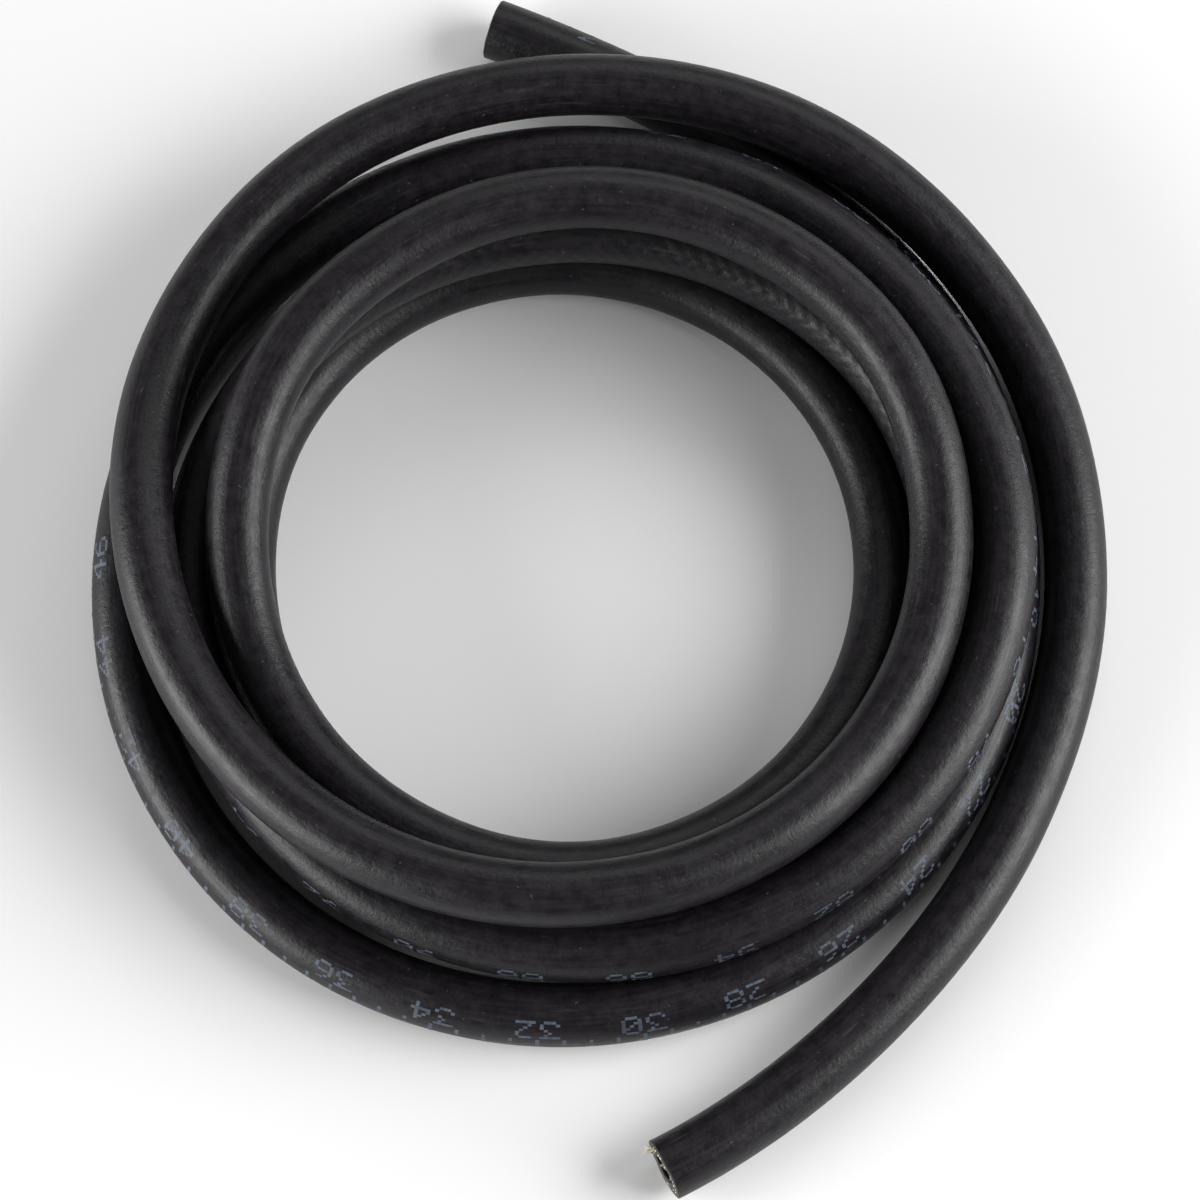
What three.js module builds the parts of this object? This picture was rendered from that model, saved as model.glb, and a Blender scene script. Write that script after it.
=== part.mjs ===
// A length of rubber fuel hose, lying as it comes: a loose flat coil of five and a half turns.
// Both ends are cut square and the bore runs through the whole length.
// Millimetres, +Z up. The coil lies on Z = 0, and the Z axis runs through the middle of its footprint.

import * as THREE from "three";

// The hose
const HOSE_DIAMETER = 12.7;
const BORE_DIAMETER = 6.4;

// The coil
const EYE_DIAMETER = 117; // clear across the middle, inside the innermost turn
const TURN_GAP = 0.3; // between turns that lie against each other

// The lay of the hose is read off like a clock face, seen from above with 12 towards +Y. Each line is one
// turn of 12 hours, clockwise, and the hose is cut at these hours. The first end lies under the others.
const HOURS_A_TURN = 12;
const FIRST_HOUR = -0.24;
const LAST_HOUR = 65.7;

// Hose widths out from the eye's own turn, an hour before the first line and then hour by hour
const OUT_BEFORE = 6.8;
const OUT = [
  [3.81, 2.52, 2.12, 1.96, 2.0, 2.08, 2.13, 2.12, 2.02, 1.91, 1.87, 1.88],
  [1.86, 1.75, 1.78, 1.82, 1.64, 1.48, 1.27, 1.1, 0.92, 0.78, 0.48, 0.32],
  [0.31, 0.5, 0.84, 0.98, 0.97, 0.85, 0.45, 0.18, 0.02, 0.02, 0.14, 0.2],
  [0.18, 0.12, 0.06, 0.01, 0.0, 0.08, 0.19, 0.1, 0.03, 0.04, 0.14, 0.25],
  [0.46, 0.66, 0.87, 0.81, 0.7, 0.69, 0.74, 0.84, 1.06, 1.46, 2.05, 2.6],
  [2.86, 3.03, 3.14, 3.0, 3.05, 3.67, 5.12],
];

// Hose widths up from lying on the floor, hour by hour
const UP = [
  [0, 0, 0, 0, 0, 0, 0, 0, 0, 0, 0, 0.15],
  [0.45, 0.95, 1, 1, 0.98, 0.82, 0.6, 0.47, 0.5, 0.7, 0.96, 1.01],
  [1.01, 0.95, 0.66, 0.3, 0, 0, 0, 0, 0, 0, 0, 0],
  [0, 0, 0, 0.05, 0.28, 0.66, 0.99, 1.02, 1.06, 1.42, 1.92, 2.02],
  [2.02, 1.95, 1.67, 1.32, 1.32, 1.62, 1.84, 1.75, 1.57, 1.46, 1.04, 0.96],
  [1, 0.9, 0.18, 0, 0, 0, 0],
];

// How finely the surface is divided
const OUTER_SIDES = 12;
const BORE_SIDES = 8;
const STEPS_AN_HOUR = 2;

const RUBBER = new THREE.MeshStandardMaterial({
  name: "black_rubber",
  color: 0x232223,
  roughness: 0.55,
  metalness: 0,
});

// The hours, widths out and widths up that the lay passes through.
function waypoints() {
  const points = [{ hour: -1, out: OUT_BEFORE, up: 0 }];
  OUT.forEach((turn, t) =>
    turn.forEach((out, h) =>
      points.push({ hour: t * HOURS_A_TURN + h, out, up: UP[t][h] }),
    ),
  );
  return points;
}

// The middle line of the hose, round the middle of the eye. Between two waypoints the widths follow a cubic
// whose slope at each waypoint is the mean of those on its two sides. Past the last, they run straight on.
class Lay extends THREE.Curve {
  constructor() {
    super();
    this.points = waypoints();
    this.pitch = HOSE_DIAMETER + TURN_GAP;
    this.eyeTurnRadius = (EYE_DIAMETER + HOSE_DIAMETER) / 2;
  }

  slope(i, key) {
    const rise = (j) => this.points[j + 1][key] - this.points[j][key];
    const last = this.points.length - 1;
    if (i === 0) return 1.5 * rise(0) - 0.5 * this.slope(1, key);
    if (i === last) return 1.5 * rise(last - 1) - 0.5 * this.slope(last - 1, key);
    return (rise(i - 1) + rise(i)) / 2;
  }

  widths(hour, key) {
    const i = this.points.findLastIndex((point) => point.hour <= hour);
    const from = this.points[i];
    const to = this.points[i + 1];
    const u = hour - from.hour;
    if (!to) return from[key] + this.slope(i, key) * u;
    return (
      from[key] * (2 * u ** 3 - 3 * u ** 2 + 1) +
      to[key] * (3 * u ** 2 - 2 * u ** 3) +
      this.slope(i, key) * (u ** 3 - 2 * u ** 2 + u) +
      this.slope(i + 1, key) * (u ** 3 - u ** 2)
    );
  }

  getPoint(t, target = new THREE.Vector3()) {
    const hour = THREE.MathUtils.lerp(FIRST_HOUR, LAST_HOUR, t);
    const angle = (2 * Math.PI * hour) / HOURS_A_TURN;
    const radius = this.eyeTurnRadius + this.pitch * this.widths(hour, "out");
    const height = HOSE_DIAMETER / 2 + this.pitch * Math.max(0, this.widths(hour, "up"));
    return target.set(radius * Math.sin(angle), radius * Math.cos(angle), height);
  }

  // Equal steps round the clock rather than along the hose, so the flats of neighbouring turns line up.
  getUtoTmapping(u) {
    return u;
  }
}

function circle(diameter, sides) {
  return Array.from({ length: sides }, (_, i) => {
    const angle = (2 * Math.PI * i) / sides;
    return new THREE.Vector2(Math.cos(angle), Math.sin(angle)).multiplyScalar(diameter / 2);
  });
}

// The hose is its ring-shaped section carried along the lay, then slid so that its footprint is centred.
function hose() {
  const section = new THREE.Shape(circle(HOSE_DIAMETER, OUTER_SIDES));
  section.holes.push(new THREE.Path(circle(BORE_DIAMETER, BORE_SIDES)));
  const geometry = new THREE.ExtrudeGeometry(section, {
    extrudePath: new Lay(),
    steps: Math.round((LAST_HOUR - FIRST_HOUR) * STEPS_AN_HOUR),
  });
  const mesh = new THREE.Mesh(geometry, RUBBER);
  mesh.name = "hose";
  geometry.computeBoundingBox();
  const middle = geometry.boundingBox.getCenter(new THREE.Vector3());
  mesh.position.set(-middle.x, -middle.y, 0);
  return mesh;
}

const group = new THREE.Group();
group.name = "fuel_hose";
group.add(hose());

export default group;
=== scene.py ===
"""Looks of a length of rubber fuel hose that lies in a loose flat coil.

Metres, +Z up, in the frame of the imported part: the coil lies on Z = 0, round the middle of its footprint.
The hose is one wall carried along its lay, with its bore and its two cut faces. Length marks are printed
along it, and the yarn that reinforces its wall shows where it is cut.
"""

import logging
import math
from dataclasses import dataclass
from enum import Enum
from functools import cached_property

import bpy
import numpy as np
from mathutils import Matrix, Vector


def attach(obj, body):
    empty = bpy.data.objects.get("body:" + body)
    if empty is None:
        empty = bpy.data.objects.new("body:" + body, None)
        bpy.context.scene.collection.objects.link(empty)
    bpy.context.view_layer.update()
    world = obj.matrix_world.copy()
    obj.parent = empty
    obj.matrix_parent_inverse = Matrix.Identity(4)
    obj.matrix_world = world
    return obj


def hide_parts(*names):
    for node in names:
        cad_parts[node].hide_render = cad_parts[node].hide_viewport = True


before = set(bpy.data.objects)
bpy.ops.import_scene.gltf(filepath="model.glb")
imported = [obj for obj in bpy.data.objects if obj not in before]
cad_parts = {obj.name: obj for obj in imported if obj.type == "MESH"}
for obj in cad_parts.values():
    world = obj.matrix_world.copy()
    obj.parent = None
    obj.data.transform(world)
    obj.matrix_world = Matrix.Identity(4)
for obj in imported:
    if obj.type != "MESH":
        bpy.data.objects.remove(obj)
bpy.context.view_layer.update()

LOG = logging.getLogger("fuel_hose")
MM = 0.001
TURN = 2 * math.pi
HOURS_A_TURN = 12
Colour = tuple[float, float, float]


class Value:
    """A value in a shader. Python's operators on it add Math nodes to its graph."""

    def __init__(self, graph: "Graph", socket: bpy.types.NodeSocket) -> None:
        """Wraps a node's output socket."""
        self.graph = graph
        self.socket = socket

    def math(self, operation: str, *operands: "Value | float") -> "Value":
        """Adds a Math node.

        Args:
            operation: Blender's name of the operation.
            operands: What it works on, in order.

        Returns:
            The node's result.
        """
        node = self.graph.node("ShaderNodeMath", {"operation": operation}, dict(enumerate(operands)))
        return Value(self.graph, node.outputs[0])

    def __add__(self, other: "Value | float") -> "Value":
        """Sum."""
        return self.math("ADD", self, other)

    def __radd__(self, other: float) -> "Value":
        """Sum, with the number first."""
        return self.math("ADD", other, self)

    def __sub__(self, other: "Value | float") -> "Value":
        """Difference."""
        return self.math("SUBTRACT", self, other)

    def __rsub__(self, other: float) -> "Value":
        """Difference, with the number first."""
        return self.math("SUBTRACT", other, self)

    def __mul__(self, other: "Value | float") -> "Value":
        """Product."""
        return self.math("MULTIPLY", self, other)

    def __rmul__(self, other: float) -> "Value":
        """Product, with the number first."""
        return self.math("MULTIPLY", other, self)

    def cos(self) -> "Value":
        """Cosine of an angle in radians."""
        return self.math("COSINE", self)

    def angle_from(self, other: "Value") -> "Value":
        """Angle in radians whose sine goes with this value and whose cosine goes with the other."""
        return self.math("ARCTAN2", self, other)

    def rise(self, low: float, high: float) -> "Value":
        """Smooth step.

        Args:
            low: Where the step leaves 0.
            high: Where it reaches 1.

        Returns:
            A value from 0 to 1.
        """
        settings = {"interpolation_type": "SMOOTHSTEP"}
        node = self.graph.node("ShaderNodeMapRange", settings, {0: self, 1: low, 2: high, 3: 0.0, 4: 1.0})
        return Value(self.graph, node.outputs[0])


class Graph:
    """The node tree of one material."""

    def __init__(self, name: str) -> None:
        """Makes an empty material of that name."""
        self.material = bpy.data.materials.new(name)
        self.material.use_nodes = True
        self.tree = self.material.node_tree
        self.tree.nodes.clear()

    def node(self, kind: str, settings: dict[str, object], inputs: dict[int | str, object]) -> bpy.types.Node:
        """Adds a node.

        Args:
            kind: Blender's name of the node's type.
            settings: The node's properties, set first.
            inputs: A number, a colour or a Value for each of its sockets.

        Returns:
            The node.
        """
        made = self.tree.nodes.new(kind)
        for name, setting in settings.items():
            setattr(made, name, setting)
        for name, given in inputs.items():
            if isinstance(given, Value):
                self.tree.links.new(given.socket, made.inputs[name])
            else:
                made.inputs[name].default_value = given
        return made

    def attribute(self, name: str) -> bpy.types.Node:
        """Reads an attribute of the mesh."""
        return self.node("ShaderNodeAttribute", {"attribute_name": name}, {})

    def stretched(self, place: Value, scale: tuple[float, float, float]) -> Value:
        """Scales a place by a factor for each axis, so that a pattern on it stretches."""
        node = self.node("ShaderNodeVectorMath", {"operation": "MULTIPLY"}, {0: place, 1: scale})
        return Value(self, node.outputs[0])

    def noise(self, place: Value, size: float, detail: float = 2.0) -> Value:
        """Adds a noise pattern.

        Args:
            place: Where on the surface it is read.
            size: How large its blotches are, in metres.
            detail: How many finer layers lie on them.

        Returns:
            A value round one half.
        """
        node = self.node("ShaderNodeTexNoise", {}, {"Vector": place, "Scale": 1 / size, "Detail": detail})
        return Value(self, node.outputs[0])

    def blend(self, factor: Value, first: "Colour | Value", second: "Colour | Value") -> Value:
        """Mixes two colours.

        Args:
            factor: 0 for the first and 1 for the second.
            first: The one colour.
            second: The other.

        Returns:
            The mixed colour.
        """
        sides = [side if isinstance(side, Value) else (*side, 1.0) for side in (first, second)]
        node = self.node("ShaderNodeMix", {"data_type": "RGBA"}, {0: factor, 6: sides[0], 7: sides[1]})
        return Value(self, node.outputs[2])

    def relief(self, height: Value) -> Value:
        """Turns a height in metres into a shading normal."""
        node = self.node("ShaderNodeBump", {}, {"Strength": 1.0, "Distance": 1.0, "Height": height})
        return Value(self, node.outputs[0])

    def finish(self, inputs: dict[str, object]) -> bpy.types.Material:
        """Adds the shader that everything feeds.

        Args:
            inputs: The sockets of the Principled shader that are set.

        Returns:
            The material.
        """
        shader = self.node("ShaderNodeBsdfPrincipled", {}, inputs)
        self.node("ShaderNodeOutputMaterial", {}, {"Surface": Value(self, shader.outputs[0])})
        return self.material


@dataclass(frozen=True)
class RubberFinish:
    """Black rubber: satin, faintly mottled, with fine marks along its length, and brown-grey where cut."""

    dark: Colour = (0.0046, 0.0035, 0.0049)
    pale: Colour = (0.0122, 0.0100, 0.0125)
    cut: Colour = (0.046, 0.040, 0.035)
    dust: Colour = (0.075, 0.072, 0.07)
    roughness: float = 0.43
    shine: float = 0.34
    bead_pitch: float = 3.6 * MM
    bead_rows: int = 12
    bead_height: float = 0.042 * MM
    mottle_size: float = 3.0 * MM
    mottle_height: float = 0.06 * MM
    cloud_size: float = 22 * MM
    grain_size: float = 0.35 * MM
    grain_height: float = 0.035 * MM
    pitting_size: float = 0.9 * MM
    pitting_height: float = 0.075 * MM
    streak_size: float = 0.6 * MM
    streak_height: float = 0.03 * MM
    streak_scale: tuple[float, float, float] = (0.05, 1.0, 1.0)  # small along the hose, so they run along it
    speck_size: float = 1.1 * MM
    scuff_size: float = 1.6 * MM
    scuff_scale: tuple[float, float, float] = (0.12, 1.0, 1.0)

    def make(self) -> bpy.types.Material:
        """Builds the material.

        The yarn under the cover lifts it by cos(rows x angle) x cos(2 pi x length / pitch), where the wall's
        attribute "yarn_shows" says so. Noise of several sizes gives mottling, grain, streaks and dust.

        Returns:
            The material.
        """
        graph = Graph("black_rubber")
        straight = Value(graph, graph.attribute("straight").outputs["Vector"])
        cut = Value(graph, graph.attribute("cut").outputs["Fac"])
        shows = Value(graph, graph.attribute("yarn_shows").outputs["Fac"])
        axes = graph.node("ShaderNodeSeparateXYZ", {}, {0: straight}).outputs
        along, side, lift = (Value(graph, axis) for axis in axes)
        mottle = graph.noise(straight, self.mottle_size, 4.0)
        cloud = graph.noise(straight, self.cloud_size)
        grain = graph.noise(straight, self.grain_size)
        pitting = graph.noise(straight, self.pitting_size)
        streak = graph.noise(graph.stretched(straight, self.streak_scale), self.streak_size, 3.0)
        specks = graph.noise(straight, self.speck_size, 1.0).rise(0.73, 0.80)
        rubbed = graph.noise(graph.stretched(straight, self.scuff_scale), self.scuff_size, 3.0)
        scuffs = rubbed.rise(0.64, 0.78)
        beads = (lift.angle_from(side) * self.bead_rows).cos() * (along * (TURN / self.bead_pitch)).cos()
        tone = (mottle * 0.35 + cloud * 0.1 + streak * 0.25 + pitting * 0.3).rise(0.37, 0.63)
        rubber = graph.blend(tone, self.dark, self.pale)
        dusty = graph.blend(specks * 0.5 + scuffs * 0.22, rubber, self.dust)
        colour = graph.blend(cut, dusty, self.cut)
        height = (
            beads * shows * self.bead_height
            + grain * self.grain_height
            + pitting * self.pitting_height
            + streak * self.streak_height
            + mottle * self.mottle_height
        )
        uneven = (mottle - 0.5) * 0.3 + (streak - 0.5) * 0.3
        return graph.finish(
            {
                "Base Color": colour,
                "Roughness": uneven + scuffs * 0.12 + cut * 0.3 + self.roughness,
                "Specular IOR Level": self.shine,
                "Normal": graph.relief(height),
            }
        )


@dataclass(frozen=True)
class YarnFinish:
    """Cream yarn, browned where the knife dragged rubber over it."""

    cream: Colour = (0.76, 0.73, 0.60)
    soiled: Colour = (0.16, 0.13, 0.09)
    soil_size: float = 0.7 * MM
    filament_size: float = 0.05 * MM
    filament_height: float = 0.02 * MM

    def make(self) -> bpy.types.Material:
        """Builds the material: two noises give the soiling and the fine filaments."""
        graph = Graph("reinforcement_yarn")
        place = Value(graph, graph.node("ShaderNodeTexCoord", {}, {}).outputs["Object"])
        soil = graph.noise(place, self.soil_size).rise(0.48, 0.75)
        fine = graph.noise(place, self.filament_size, 1.0)
        return graph.finish(
            {
                "Base Color": graph.blend(soil, self.cream, self.soiled),
                "Roughness": fine * 0.2 + 0.7,
                "Normal": graph.relief(fine * self.filament_height),
            }
        )


@dataclass(frozen=True)
class InkFinish:
    """Thin blue-grey ink, paler where it lies thick and nearly gone where it is worn."""

    fresh: Colour = (0.072, 0.092, 0.128)
    worn: Colour = (0.034, 0.042, 0.056)
    wear_size: float = 1.5 * MM

    def make(self) -> bpy.types.Material:
        """Builds the material: where one noise wears the ink, it is darker and glossier."""
        graph = Graph("grey_ink")
        place = Value(graph, graph.node("ShaderNodeTexCoord", {}, {}).outputs["Object"])
        wear = graph.noise(place, self.wear_size, 3.0).rise(0.35, 0.7)
        return graph.finish(
            {"Base Color": graph.blend(wear, self.fresh, self.worn), "Roughness": wear * -0.15 + 0.65}
        )


def grid_faces(rows: int, columns: int, close_rows: bool, close_columns: bool) -> np.ndarray:
    """Gives the quads of a grid of points.

    Args:
        rows: How many rows of points there are.
        columns: How many points there are in a row.
        close_rows: Whether the last row joins the first.
        close_columns: Whether the last point of a row joins its first.

    Returns:
        Point numbers, four for each quad. The side that faces out is the cross product of the way along a row
        and the way from row to row.
    """
    i = np.arange(rows if close_rows else rows - 1)[:, None]
    j = np.arange(columns if close_columns else columns - 1)[None, :]
    next_i, next_j = (i + 1) % rows, (j + 1) % columns
    quads = [i * columns + j, i * columns + next_j, next_i * columns + next_j, next_i * columns + j]
    return np.stack([corner.ravel() for corner in quads], axis=1)


def repeated(faces: np.ndarray, points: int, copies: int) -> np.ndarray:
    """Repeats one shape's faces for copies whose points follow each other."""
    return (faces[None] + points * np.arange(copies)[:, None, None]).reshape(-1, faces.shape[1])


def make_piece(
    name: str, points: np.ndarray, faces: list[np.ndarray], material: bpy.types.Material
) -> bpy.types.Object:
    """Makes a smooth-shaded piece from arrays.

    Args:
        name: The piece's name.
        points: Places in the shared frame, in metres.
        faces: Arrays of point numbers, one array for each number of corners.
        material: Its finish.

    Returns:
        The object, at the origin and riding on the part's body.
    """
    mesh = bpy.data.meshes.new(name)
    mesh.from_pydata(points.reshape(-1, 3), [], [face for group in faces for face in group.tolist()])
    mesh.polygons.foreach_set("use_smooth", np.ones(len(mesh.polygons), bool))
    mesh.materials.append(material)
    mesh.validate()
    piece = bpy.data.objects.new(name, mesh)
    bpy.context.scene.collection.objects.link(piece)
    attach(piece, "root")
    LOG.info("%s: %d points, %d faces", name, len(mesh.vertices), len(mesh.polygons))
    return piece


def add_attribute(piece: bpy.types.Object, name: str, values: np.ndarray) -> None:
    """Stores a number or a place for each point of a piece.

    Args:
        piece: The piece.
        name: The attribute's name.
        values: One number for each point, or places by row and column.
    """
    kind, key = ("FLOAT_VECTOR", "vector") if values.ndim == 3 else ("FLOAT", "value")
    attribute = piece.data.attributes.new(name, kind, "POINT")
    attribute.data.foreach_set(key, values.astype(np.float32).ravel())


def cubic(table: np.ndarray, places: np.ndarray) -> np.ndarray:
    """Reads a table of evenly spaced values between its entries.

    Between two entries the value follows a cubic. Its slope at an entry is the mean of the rises beside it.

    Args:
        table: The values, one for each whole place.
        places: Where they are read.

    Returns:
        One value for each place.
    """
    slope = np.gradient(table)
    slope[0] = 1.5 * (table[1] - table[0]) - 0.5 * slope[1]
    slope[-1] = 1.5 * (table[-1] - table[-2]) - 0.5 * slope[-2]
    i = np.clip(np.floor(places).astype(int), 0, len(table) - 2)
    u = places - i
    return (
        table[i] * (2 * u**3 - 3 * u**2 + 1)
        + table[i + 1] * (3 * u**2 - 2 * u**3)
        + slope[i] * (u**3 - 2 * u**2 + u)
        + slope[i + 1] * (u**3 - u**2)
    )


@dataclass(frozen=True)
class HoseLay:
    """Where the middle line of the hose runs, read off like a clock face from above, with 12 towards +Y.

    The tables start an hour before the first turn's 12 o'clock and go on hour by hour, clockwise. Both are in
    hose widths: out from the eye's own turn, and up from lying on the floor.
    """

    hose_diameter: float = 12.7 * MM
    turn_gap: float = 0.3 * MM
    eye_diameter: float = 117 * MM
    eye_middle: tuple[float, float] = (-6.9404 * MM, 1.1289 * MM)
    first_hour: float = -0.24
    last_hour: float = 65.7
    out: tuple[tuple[float, ...], ...] = (
        (6.8,),
        (3.81, 2.52, 2.12, 1.96, 2.0, 2.08, 2.13, 2.12, 2.02, 1.91, 1.87, 1.88),
        (1.86, 1.75, 1.78, 1.82, 1.64, 1.48, 1.27, 1.1, 0.92, 0.78, 0.48, 0.32),
        (0.31, 0.5, 0.84, 0.98, 0.97, 0.85, 0.45, 0.18, 0.02, 0.02, 0.14, 0.2),
        (0.18, 0.12, 0.06, 0.01, 0.0, 0.08, 0.19, 0.1, 0.03, 0.04, 0.14, 0.25),
        (0.46, 0.66, 0.87, 0.81, 0.7, 0.69, 0.74, 0.84, 1.06, 1.46, 2.05, 2.6),
        (2.86, 3.03, 3.14, 3.0, 3.05, 3.67, 5.12),
    )
    up: tuple[tuple[float, ...], ...] = (
        (0,),
        (0, 0, 0, 0, 0, 0, 0, 0, 0, 0, 0, 0.15),
        (0.45, 0.95, 1, 1, 0.98, 0.82, 0.6, 0.47, 0.5, 0.7, 0.96, 1.01),
        (1.01, 0.95, 0.66, 0.3, 0, 0, 0, 0, 0, 0, 0, 0),
        (0, 0, 0, 0.05, 0.28, 0.66, 0.99, 1.02, 1.06, 1.42, 1.92, 2.02),
        (2.02, 1.95, 1.67, 1.32, 1.32, 1.62, 1.84, 1.75, 1.57, 1.46, 1.04, 0.96),
        (1, 0.9, 0.18, 0, 0, 0, 0),
    )
    roll_hours: tuple[float, ...] = (-1, 3, 6, 9, 12, 15, 18, 24, 30, 36, 48, 66)
    roll_angles: tuple[float, ...] = (48, 42, 46, 44, 28, 14, 6, -24, -46, -70, -96, -102)  # degrees
    gauge_points: int = 20001

    @property
    def radius(self) -> float:
        """The hose's own radius."""
        return self.hose_diameter / 2

    def points(self, hours: np.ndarray) -> np.ndarray:
        """Places on the middle line.

        The line turns round the eye's middle, at a radius and a height that the tables give.

        Args:
            hours: Where on it, in hours.

        Returns:
            One place for each hour.
        """
        pitch = self.hose_diameter + self.turn_gap
        out = cubic(np.array(sum(self.out, ())), hours + 1)
        up = cubic(np.array(sum(self.up, ()), float), hours + 1)
        reach = (self.eye_diameter + self.hose_diameter) / 2 + pitch * out
        angle = TURN * hours / HOURS_A_TURN
        x = self.eye_middle[0] + reach * np.sin(angle)
        y = self.eye_middle[1] + reach * np.cos(angle)
        return np.stack([x, y, self.radius + pitch * np.maximum(0, up)], axis=1)

    def axes(self, hours: np.ndarray) -> tuple[np.ndarray, np.ndarray, np.ndarray]:
        """Directions at places on the middle line.

        Args:
            hours: Where on it, in hours.

        Returns:
            The ways ahead along the hose, outwards from the coil and upwards, square to each other.
        """
        step = 0.001
        inner = np.clip(hours, self.first_hour + step, self.last_hour - step)
        ahead = self.points(inner + step) - self.points(inner - step)
        ahead /= np.linalg.norm(ahead, axis=1)[:, None]
        outward = np.cross([0.0, 0.0, 1.0], ahead)
        outward /= np.linalg.norm(outward, axis=1)[:, None]
        return ahead, outward, np.cross(ahead, outward)

    @cached_property
    def gauge(self) -> tuple[np.ndarray, np.ndarray]:
        """Many hours from end to end, and how far along the hose each is."""
        hours = np.linspace(self.first_hour, self.last_hour, self.gauge_points)
        steps = np.linalg.norm(np.diff(self.points(hours), axis=0), axis=1)
        return hours, np.concatenate([[0.0], np.cumsum(steps)])

    def along(self, hours: np.ndarray) -> np.ndarray:
        """How far along the hose these hours are."""
        return np.interp(hours, *self.gauge)

    def hours_at(self, along: np.ndarray) -> np.ndarray:
        """The hours that are this far along the hose."""
        return np.interp(along, self.gauge[1], self.gauge[0])

    @property
    def length(self) -> float:
        """The length of the middle line."""
        return float(self.gauge[1][-1])

    def twist(self, hours: np.ndarray) -> np.ndarray:
        """The angle, up from outwards, at which the printed side of the hose faces.

        The hose rolls slowly under as it is laid, evenly between a few listed angles.

        Args:
            hours: Where on the hose, in hours.

        Returns:
            Angles in radians.
        """
        return np.radians(np.interp(hours, self.roll_hours, self.roll_angles))


class HoseEnd(Enum):
    """The two cut ends, by how they lie."""

    UNDER = "under"
    OUTER = "outer"


@dataclass(frozen=True)
class Fray:
    """A few filaments that stand out of a cut face."""

    angle: float  # degrees up from outwards
    length: float
    count: int
    thickness: float
    spread: float  # how far they part, as a share of their length
    curl: float  # how far they bend, as a share of their length


@dataclass(frozen=True)
class Cut:
    """How one end of the hose was cut."""

    end: HoseEnd
    slant: float
    slant_angle: float  # degrees up from outwards, where the face stands furthest forward
    raggedness: float
    seed: int
    frays: tuple[Fray, ...]

    def forward(self, angles: np.ndarray) -> np.ndarray:
        """How far the face stands forward round the hose.

        The slant is one cosine. The raggedness is a sum of twenty, with seeded phases and finer ones lower.

        Args:
            angles: Round the hose, in radians up from outwards.

        Returns:
            One distance for each angle.
        """
        rng = np.random.default_rng(self.seed)
        order = np.arange(2, 22)
        height = rng.normal(size=order.size) / order**0.6
        waves = np.cos(order[:, None] * angles + rng.uniform(0, TURN, order.size)[:, None])
        rough = (height[:, None] * waves).sum(0) / np.abs(height).sum()
        return self.slant * np.cos(angles - math.radians(self.slant_angle)) + 2 * self.raggedness * rough


CUTS = (
    Cut(
        end=HoseEnd.UNDER,
        slant=0.15 * MM,
        slant_angle=40,
        raggedness=0.07 * MM,
        seed=3,
        frays=(Fray(100, 0.8 * MM, 7, 0.10 * MM, 0.5, 0.3), Fray(245, 0.7 * MM, 6, 0.10 * MM, 0.6, 0.4)),
    ),
    Cut(
        end=HoseEnd.OUTER,
        slant=0.14 * MM,
        slant_angle=185,
        raggedness=0.12 * MM,
        seed=8,
        frays=(
            Fray(161, 2.4 * MM, 14, 0.16 * MM, 0.10, 0.14),
            Fray(153, 1.5 * MM, 44, 0.34 * MM, 0.35, 0.5),
            Fray(147, 1.3 * MM, 26, 0.20 * MM, 0.45, 0.6),
            Fray(84, 0.8 * MM, 12, 0.14 * MM, 0.4, 0.4),
            Fray(52, 0.6 * MM, 8, 0.12 * MM, 0.5, 0.4),
            Fray(290, 0.7 * MM, 7, 0.12 * MM, 0.6, 0.5),
        ),
    ),
)


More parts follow.
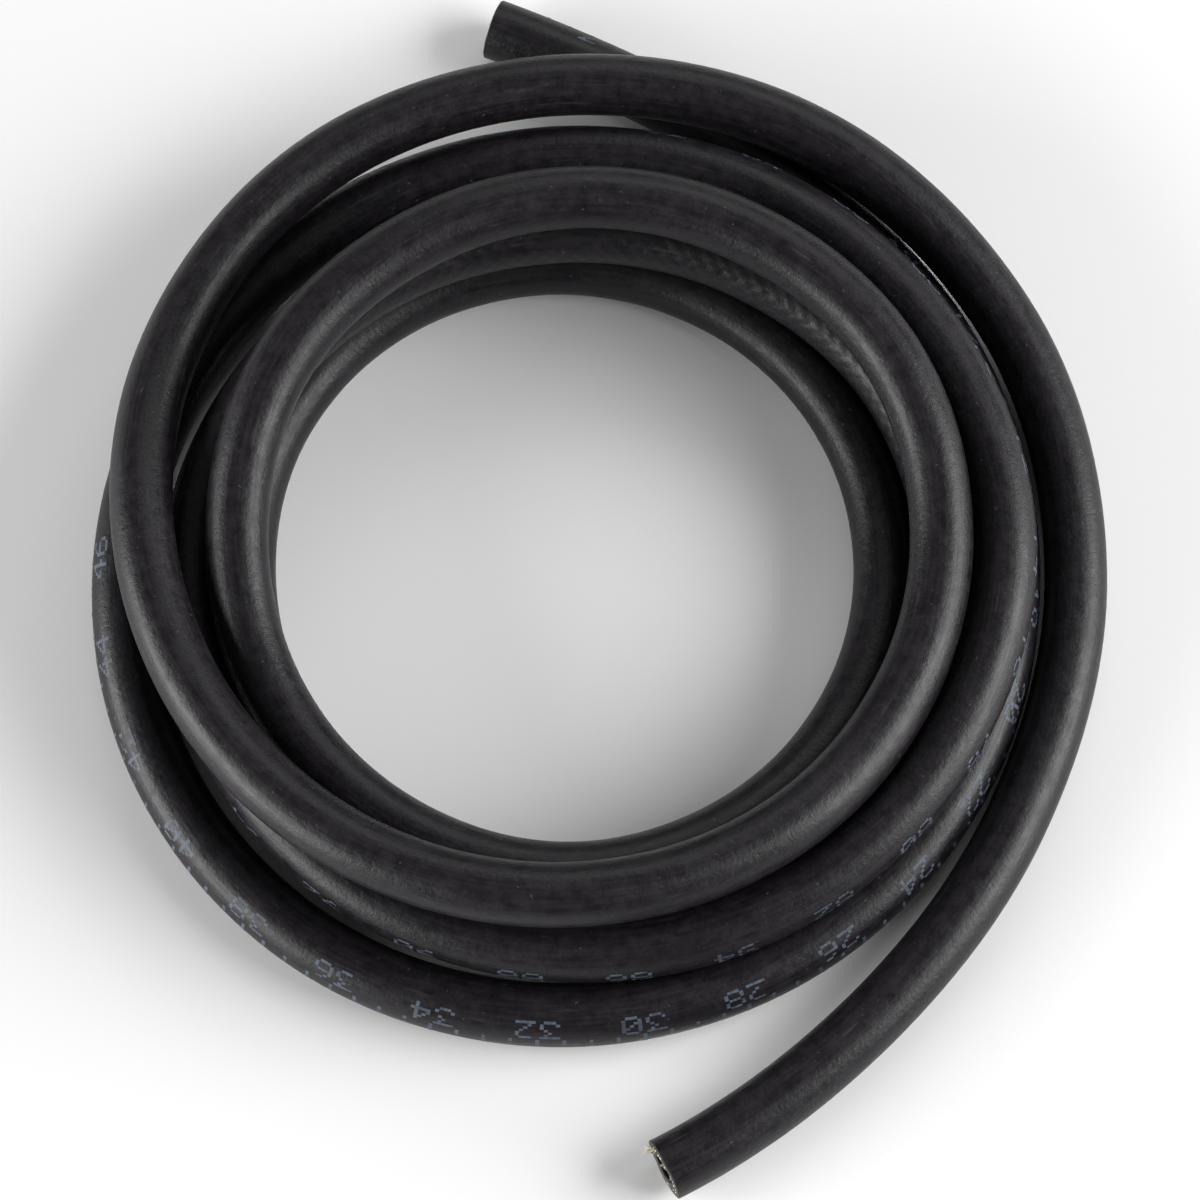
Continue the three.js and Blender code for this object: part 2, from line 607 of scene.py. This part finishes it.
@dataclass
class HoseWall:
    """The hose itself: one closed wall with its bore and its two cut faces."""

    lay: HoseLay
    bore_diameter: float = 6.4 * MM
    edge_radius: float = 0.14 * MM
    unevenness: float = 0.025 * MM
    wave_lengths: tuple[float, float] = (18 * MM, 70 * MM)
    wave_lobes: tuple[int, ...] = (0, 1, 1, 2, 2, 3)
    columns: int = 56
    outer_rows: int = 1080
    bore_rows: int = 360
    face_rows: int = 18
    end_length: float = 3 * MM  # before each cut, where the collars take the place of the even rows
    collars: tuple[float, ...] = (-2.0 * MM, -1.2 * MM, -0.6 * MM, -0.3 * MM)
    showing_hours: tuple[float, ...] = (21, 23.5, 27, 29)
    showing_yarn: tuple[float, ...] = (0.12, 1.0, 1.0, 0.12)

    def face_profile(self) -> tuple[np.ndarray, np.ndarray]:
        """The cut face from its outer edge to the bore.

        Returns:
            Radii, and how far each lies back from the cut: nothing on the face, and along a quarter circle at
            each of its two edges.
        """
        bore = self.bore_diameter / 2
        share = 0.5 - 0.5 * np.cos(math.pi * np.linspace(0, 1, self.face_rows))
        radius = self.lay.radius + (bore - self.lay.radius) * share
        from_edge = np.minimum(self.lay.radius - radius, radius - bore)
        lack = np.clip(1 - from_edge / self.edge_radius, 0, 1)
        return radius, -self.edge_radius * (1 - np.sqrt(1 - lack**2))

    def outer_swell(self, along: np.ndarray, angles: np.ndarray) -> np.ndarray:
        """How far the cover stands proud of its round.

        Six slow waves with seeded lengths, lobes and phases lie over each other.

        Args:
            along: How far along the hose, for each row.
            angles: Round the hose, for each column.

        Returns:
            One distance for each row and column.
        """
        rng = np.random.default_rng(21)
        swell = np.zeros((along.size, angles.size))
        for lobes in self.wave_lobes:
            wave = rng.uniform(*self.wave_lengths)
            phase, _ = rng.uniform(0, TURN, 2)
            swell += np.cos(TURN * along[:, None] / wave + lobes * angles[None] + phase)
        return self.unevenness * swell * 2 / len(self.wave_lobes)

    def profile(self) -> tuple[np.ndarray, ...]:
        """The closed line that makes the wall when it is turned round the hose's middle line.

        It runs along the outside from the under end to the outer end, in over the cut face, back along the
        bore and out over the other face.

        Returns:
            For each of its points, the hour, how far it lies ahead of that, its radius, and 1 on a cut face.
        """
        lay, bore = self.lay, self.bore_diameter / 2
        first, last = lay.first_hour, lay.last_hour
        collars = np.array(self.collars)
        face_radius, face_back = self.face_profile()
        margin = self.end_length / lay.length * (last - first)
        outside = np.linspace(first + margin, last - margin, self.outer_rows)
        inside = np.linspace(last - margin, first + margin, self.bore_rows)
        runs = [
            (first, -collars[::-1], lay.radius, 0.0),
            (outside, 0.0, lay.radius, 0.0),
            (last, collars, lay.radius, 0.0),
            (last, face_back, face_radius, 1.0),
            (last, collars[::-1], bore, 0.0),
            (inside, 0.0, bore, 0.0),
            (first, -collars, bore, 0.0),
            (first, -face_back[::-1], face_radius[::-1], 1.0),
        ]
        measures = zip(*(np.broadcast_arrays(*run) for run in runs))
        return tuple(np.concatenate(measure) for measure in measures)

    def build(self, material: bpy.types.Material) -> bpy.types.Object:
        """Makes the wall.

        Each point of the profile is turned round the middle line: its place is the line's point + ahead x
        offset + radius x (cos angle x outward + sin angle x up). Near an end the offset grows into the cut's.

        Args:
            material: The rubber.

        Returns:
            The piece.
        """
        lay = self.lay
        angles = TURN * np.arange(self.columns) / self.columns
        hours, offset, radius, cut = self.profile()
        ahead, outward, upward = lay.axes(hours)
        forward = offset[:, None] + np.zeros(self.columns)
        for style, hour, sign in ((CUTS[0], lay.first_hour, -1), (CUTS[1], lay.last_hour, 1)):
            hold = np.where(hours == hour, np.clip(1 - sign * offset / self.collars[0], 0, 1), 0.0)
            forward += sign * hold[:, None] * style.forward(angles)[None]
        on_cover = (radius == lay.radius) & (cut == 0)
        girth = radius[:, None] + on_cover[:, None] * self.outer_swell(lay.along(hours), angles)
        round_it = angles[None, :, None]
        turned = np.cos(round_it) * outward[:, None] + np.sin(round_it) * upward[:, None]
        points = lay.points(hours)[:, None] + forward[..., None] * ahead[:, None] + girth[..., None] * turned
        faces = grid_faces(len(hours), self.columns, close_rows=True, close_columns=True)
        piece = make_piece("rubber_hose", points, [faces], material)
        roll = angles[None] - lay.twist(hours)[:, None]
        straight = [lay.along(hours)[:, None] + forward, girth * np.cos(roll), girth * np.sin(roll)]
        add_attribute(piece, "straight", np.stack(straight, axis=2))
        add_attribute(piece, "cut", np.repeat(cut, self.columns))
        add_attribute(piece, "yarn_shows", np.repeat(self.yarn_shows(hours) * on_cover, self.columns))
        return piece

    def yarn_shows(self, hours: np.ndarray) -> np.ndarray:
        """How much of the yarn's relief shows through the cover: all of it where the third turn begins."""
        return np.interp(hours, self.showing_hours, self.showing_yarn)

    def declare(self) -> None:
        lay = self.lay
        path = lay.points(np.linspace(lay.first_hour, lay.last_hour, self.outer_rows))
        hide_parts("hose")


@dataclass
class Reinforcement:
    """The yarn in the wall, as it shows on a cut face: a ring of cut tips, and filaments that frayed."""

    lay: HoseLay
    ring_radius: float = 4.8 * MM
    ring_stagger: float = 0.16 * MM
    tip_count: int = 24
    tip_stray: float = 0.16  # as a share of the way from tip to tip
    tip_size: tuple[float, float, float] = (0.26 * MM, 0.44 * MM, 0.24 * MM)
    tip_standing: tuple[float, float] = (-0.36 * MM, -0.10 * MM)
    tip_pole: float = 0.06  # radians cut off at each pole
    tip_rows: int = 9
    tip_columns: int = 12
    root_spread: float = 0.25 * MM
    root_depth: float = 0.25 * MM
    root_stray: float = 4.5  # degrees
    filament_rows: int = 9
    filament_columns: int = 6

    def end_axes(self, cut: Cut) -> tuple[np.ndarray, np.ndarray, np.ndarray, np.ndarray]:
        """Where an end is.

        Args:
            cut: Which end.

        Returns:
            The middle of its face, and the ways out of the face, outwards from the coil and up.
        """
        last = cut.end is HoseEnd.OUTER
        hour = np.array([self.lay.last_hour if last else self.lay.first_hour])
        ahead, outward, upward = (way[0] for way in self.lay.axes(hour))
        return self.lay.points(hour)[0], ahead if last else -ahead, outward, upward

    def tips(self, cut: Cut, material: bpy.types.Material) -> bpy.types.Object:
        """Makes the ring of cut yarn tips.

        Each is an ellipsoid, half sunk in the face: sizes x (cos b, sin b cos a, sin b sin a) for a round it
        and b from pole to pole. Sizes, places and how far each stands out vary by seeded amounts.

        Args:
            cut: Which end.
            material: The yarn.

        Returns:
            The piece.
        """
        rng = np.random.default_rng(cut.seed + 100)
        middle, out, side, up = self.end_axes(cut)
        count = self.tip_count
        place = TURN * (np.arange(count) + rng.uniform(-self.tip_stray, self.tip_stray, count)) / count
        ring = self.ring_radius + np.where(np.arange(count) % 2, self.ring_stagger, -self.ring_stagger)
        radial = np.cos(place)[:, None] * side + np.sin(place)[:, None] * up
        round_it = np.cross(out, radial)
        sizes = np.array(self.tip_size) * rng.uniform(0.75, 1.15, (count, 3))
        centre = middle + ring[:, None] * radial + rng.uniform(*self.tip_standing, count)[:, None] * out
        centre += cut.forward(place)[:, None] * out
        b = np.linspace(self.tip_pole, math.pi - self.tip_pole, self.tip_rows)[:, None]
        a = TURN * np.arange(self.tip_columns)[None] / self.tip_columns
        ball = np.stack([np.cos(b) + 0 * a, np.sin(b) * np.cos(a), np.sin(b) * np.sin(a)], axis=2)
        ways = np.stack([out + 0 * radial, round_it, radial], axis=1)
        points = centre[:, None, None] + np.einsum("rcs,ns,nsk->nrck", ball, sizes, ways)
        return self.closed_copies(f"yarn_tips_{cut.end.value}", points, material)

    def filaments(self, cut: Cut, material: bpy.types.Material) -> bpy.types.Object:
        """Makes the frayed filaments.

        Each is a thin tube round the curve start + length x (u x way + u squared x bend), for u from 0 to 1,
        and tapers to its tip. Ways and bends are seeded.

        Args:
            cut: Which end.
            material: The yarn.

        Returns:
            The piece.
        """
        rng = np.random.default_rng(cut.seed + 200)
        middle, out, side, up = self.end_axes(cut)
        counts = [fray.count for fray in cut.frays]
        count = sum(counts)
        rows = [(fray.angle, fray.length, fray.thickness, fray.spread, fray.curl) for fray in cut.frays]
        angle, length, thickness, spread, curl = np.repeat(rows, counts, axis=0).T
        angle = np.radians(angle + rng.normal(0, self.root_stray, count))
        length = length * rng.uniform(0.6, 1.1, count)
        radial = np.cos(angle)[:, None] * side + np.sin(angle)[:, None] * up
        ring = self.ring_radius + rng.uniform(-self.root_spread, self.root_spread, count)
        start = middle + ring[:, None] * radial + (cut.forward(angle) - self.root_depth)[:, None] * out
        way = out + spread[:, None] * rng.normal(0, 0.6, (count, 3))
        way /= np.linalg.norm(way, axis=1)[:, None]
        bend = curl[:, None] * rng.normal(0, 0.6, (count, 3))
        u = np.linspace(0, 1, self.filament_rows)[None, :, None]
        curve = start[:, None] + length[:, None, None] * (u * way[:, None] + u**2 * bend[:, None])
        ahead = way[:, None] + 2 * u * bend[:, None]
        ahead /= np.linalg.norm(ahead, axis=2)[..., None]
        first = np.cross(ahead, radial[:, None] + 0.01)
        first /= np.linalg.norm(first, axis=2)[..., None]
        second = np.cross(ahead, first)
        a = TURN * np.arange(self.filament_columns) / self.filament_columns
        ring_way = np.cos(a)[:, None] * first[:, :, None] + np.sin(a)[:, None] * second[:, :, None]
        thick = (thickness[:, None, None] / 2 * (1 - 0.6 * u**3))[..., None]
        points = curve[:, :, None] + thick * ring_way
        return self.closed_copies(f"frayed_yarn_{cut.end.value}", points, material)

    def closed_copies(self, name: str, points: np.ndarray, material: bpy.types.Material) -> bpy.types.Object:
        """Makes one piece of many small closed shapes.

        Args:
            name: The piece's name.
            points: Places by copy, row and column. The first and last rows are closed by a flat face.
            material: Their finish.

        Returns:
            The piece.
        """
        copies, rows, columns = points.shape[:3]
        sides = grid_faces(rows, columns, False, True)
        caps = np.stack([np.arange(columns)[::-1], (rows - 1) * columns + np.arange(columns)])
        faces = [repeated(sides, rows * columns, copies), repeated(caps, rows * columns, copies)]
        piece = make_piece(name, points, faces, material)
        return piece


DIGITS = {
    "0": ".###. #...# #..## #.#.# ##..# #...# .###.",
    "1": "..#.. .##.. ..#.. ..#.. ..#.. ..#.. .###.",
    "2": ".###. #...# ....# ...#. ..#.. .#... #####",
    "3": "##### ...#. ..#.. ...#. ....# #...# .###.",
    "4": "...#. ..##. .#.#. #..#. ##### ...#. ...#.",
    "5": "##### #.... ####. ....# ....# #...# .###.",
    "6": "..##. .#... #.... ####. #...# #...# .###.",
    "7": "##### ....# ...#. ..#.. .#... .#... .#...",
    "8": ".###. #...# #...# .###. #...# #...# .###.",
    "9": ".###. #...# #...# .#### ....# ...#. .##..",
}


@dataclass
class LengthMarks:
    """A plain length scale, printed in dots: centimetres in figures, over a row of ticks."""

    lay: HoseLay
    dot_along: float = 0.77 * MM
    dot_round: float = 0.58 * MM
    dot_shares: tuple[float, float] = (0.86, 1.04)
    missing_share: float = 0.03
    figure_step: int = 2
    figure_pitch: int = 6
    middle_row: int = 3
    lift: float = 0.03 * MM
    tick_row: float = 4.4 * MM
    long_tick: int = 7
    short_tick: int = 4

    def figure_dots(self) -> tuple[np.ndarray, np.ndarray]:
        """The dots of the figures.

        Returns:
            How far along the hose, and how far round it from the printed side's middle, each dot is.
        """
        along, round_it = [], []
        for centimetre in range(self.figure_step, int(self.lay.length * 100), self.figure_step):
            text = str(centimetre)
            left = centimetre * 10 * MM - (self.figure_pitch * len(text) - 1) * self.dot_along / 2
            for place, digit in enumerate(text):
                rows = np.array([list(row) for row in DIGITS[digit].split()]) == "#"
                row, column = np.nonzero(rows)
                along.append(left + (column + 0.5 + self.figure_pitch * place) * self.dot_along)
                round_it.append((row - self.middle_row) * self.dot_round)
        return np.concatenate(along), np.concatenate(round_it)

    def tick_dots(self) -> tuple[np.ndarray, np.ndarray]:
        """The dots of the ticks: seven to each centimetre's and four to each half centimetre's.

        Returns:
            How far along the hose, and how far round it from the printed side's middle, each dot is.
        """
        half = np.arange(1, int(self.lay.length * 200))
        row = np.arange(self.long_tick)
        tick, dot = np.nonzero((row[None] < self.short_tick) | (half[:, None] % 2 == 0))
        return half[tick] * 5 * MM, (self.middle_row - dot) * self.dot_round - self.tick_row

    def build(self, material: bpy.types.Material) -> bpy.types.Object:
        """Makes the marks.

        Each dot is a small quad on the cover, its corners half a dot from its middle along the hose and round
        it. A corner's place is the line's point + (radius + lift) x (cos angle x outward + sin angle x up).
        Some dots are missing and the others vary in size, by seeded amounts.

        Args:
            material: The ink.

        Returns:
            The piece.
        """
        rng = np.random.default_rng(5)
        figures, ticks = self.figure_dots(), self.tick_dots()
        along = np.concatenate([figures[0], ticks[0]])
        round_it = np.concatenate([figures[1], ticks[1]])
        kept = rng.random(along.size) > self.missing_share
        along, round_it = along[kept], round_it[kept]
        size = rng.uniform(*self.dot_shares, along.size)[:, None] / 2
        corner_along = along[:, None] + size * self.dot_along * np.array([-1, -1, 1, 1])
        corner_round = round_it[:, None] + size * self.dot_round * np.array([-1, 1, 1, -1])
        hours = self.lay.hours_at(corner_along.ravel())
        _, outward, upward = self.lay.axes(hours)
        reach = self.lay.radius + self.lift
        angle = self.lay.twist(hours) + corner_round.ravel() / reach
        turned = np.cos(angle)[:, None] * outward + np.sin(angle)[:, None] * upward
        points = self.lay.points(hours) + reach * turned
        faces = np.arange(len(points)).reshape(-1, 4)
        piece = make_piece("length_marks", points, [faces], material)
        return piece


@dataclass(frozen=True)
class Softbox:
    """A plain soft light, aimed at the coil."""

    name: str
    bearing: float  # degrees from +X towards +Y
    elevation: float
    distance: float
    width: float
    height: float
    power: float
    colour: Colour = (1.0, 1.0, 1.0)

    def place(self) -> None:
        """Adds the light to the scene."""
        bearing, elevation = math.radians(self.bearing), math.radians(self.elevation)
        flat = math.cos(elevation)
        way = Vector((flat * math.cos(bearing), flat * math.sin(bearing), math.sin(elevation)))
        light = bpy.data.lights.new(self.name, "AREA")
        light.shape = "RECTANGLE"
        light.size, light.size_y = self.width, self.height
        light.energy = self.power
        light.color = self.colour
        lamp = bpy.data.objects.new(self.name, light)
        lamp.location = way * self.distance
        lamp.rotation_euler = (-way).to_track_quat("-Z", "Y").to_euler()
        bpy.context.scene.collection.objects.link(lamp)


@dataclass
class Studio:
    """Floor, light and camera."""

    lay: HoseLay
    aim_from_eye: tuple[float, float] = (7.14 * MM, -4.25 * MM)
    camera_distance: float = 0.95
    camera_elevation: float = 71.5
    focal_length: float = 139.5
    sensor: float = 36.0
    floor_size: float = 6.0
    floor_colour: Colour = (0.86, 0.86, 0.86)
    world_strength: float = 0.12
    softboxes: tuple[Softbox, ...] = (
        Softbox("softbox_right", bearing=-3, elevation=27, distance=1.3, width=1.1, height=0.95, power=28),
        Softbox("softbox_left", bearing=198, elevation=14, distance=1.3, width=1.3, height=0.7, power=28),
        Softbox("softbox_back", bearing=75, elevation=40, distance=2.2, width=1.6, height=0.8, power=10),
    )

    def camera(self) -> None:
        """Places the camera: it looks along +Y and down by its elevation, near the eye's middle."""
        elevation = math.radians(self.camera_elevation)
        x, y = (middle + aside for middle, aside in zip(self.lay.eye_middle, self.aim_from_eye))
        aim = Vector((x, y, 0))
        lens = bpy.data.cameras.new("camera")
        lens.sensor_width = self.sensor
        lens.lens = self.focal_length
        camera = bpy.data.objects.new("camera", lens)
        camera.location = aim + self.camera_distance * Vector((0, -math.cos(elevation), math.sin(elevation)))
        camera.rotation_euler = (math.pi / 2 - elevation, 0, 0)
        bpy.context.scene.collection.objects.link(camera)
        bpy.context.scene.camera = camera

    def floor(self) -> None:
        """Lays the plain pale floor."""
        graph = Graph("pale_floor")
        material = graph.finish({"Base Color": (*self.floor_colour, 1.0), "Roughness": 0.9})
        half = self.floor_size / 2
        square = [(-half, -half, 0), (half, -half, 0), (half, half, 0), (-half, half, 0)]
        mesh = bpy.data.meshes.new("floor")
        mesh.from_pydata(square, [], [(0, 1, 2, 3)])
        mesh.materials.append(material)
        floor = bpy.data.objects.new("floor", mesh)
        bpy.context.scene.collection.objects.link(floor)

    def world(self) -> None:
        """Sets the even light of the room."""
        world = bpy.data.worlds.new("room")
        world.use_nodes = True
        background = world.node_tree.nodes["Background"]
        background.inputs["Color"].default_value = (1, 1, 1, 1)
        background.inputs["Strength"].default_value = self.world_strength
        bpy.context.scene.world = world
        bpy.context.scene.view_settings.view_transform = "Standard"

    def build(self) -> None:
        """Sets up everything round the part."""
        self.camera()
        self.floor()
        self.world()
        for softbox in self.softboxes:
            softbox.place()
        LOG.info("studio: %d softboxes", len(self.softboxes))


def main() -> None:
    logging.basicConfig(level=logging.INFO, format="%(name)s: %(message)s")
    lay = HoseLay()
    Studio(lay).build()
    rubber, yarn, ink = RubberFinish().make(), YarnFinish().make(), InkFinish().make()
    wall = HoseWall(lay)
    hose = wall.build(rubber)
    marks = LengthMarks(lay).build(ink)
    reinforcement = Reinforcement(lay)
    tips = [reinforcement.tips(cut, yarn) for cut in CUTS]
    filaments = [reinforcement.filaments(cut, yarn) for cut in CUTS]
    wall.declare()
    LOG.info("hose: %.4f m along its middle line", lay.length)


if __name__ == "__main__":
    main()
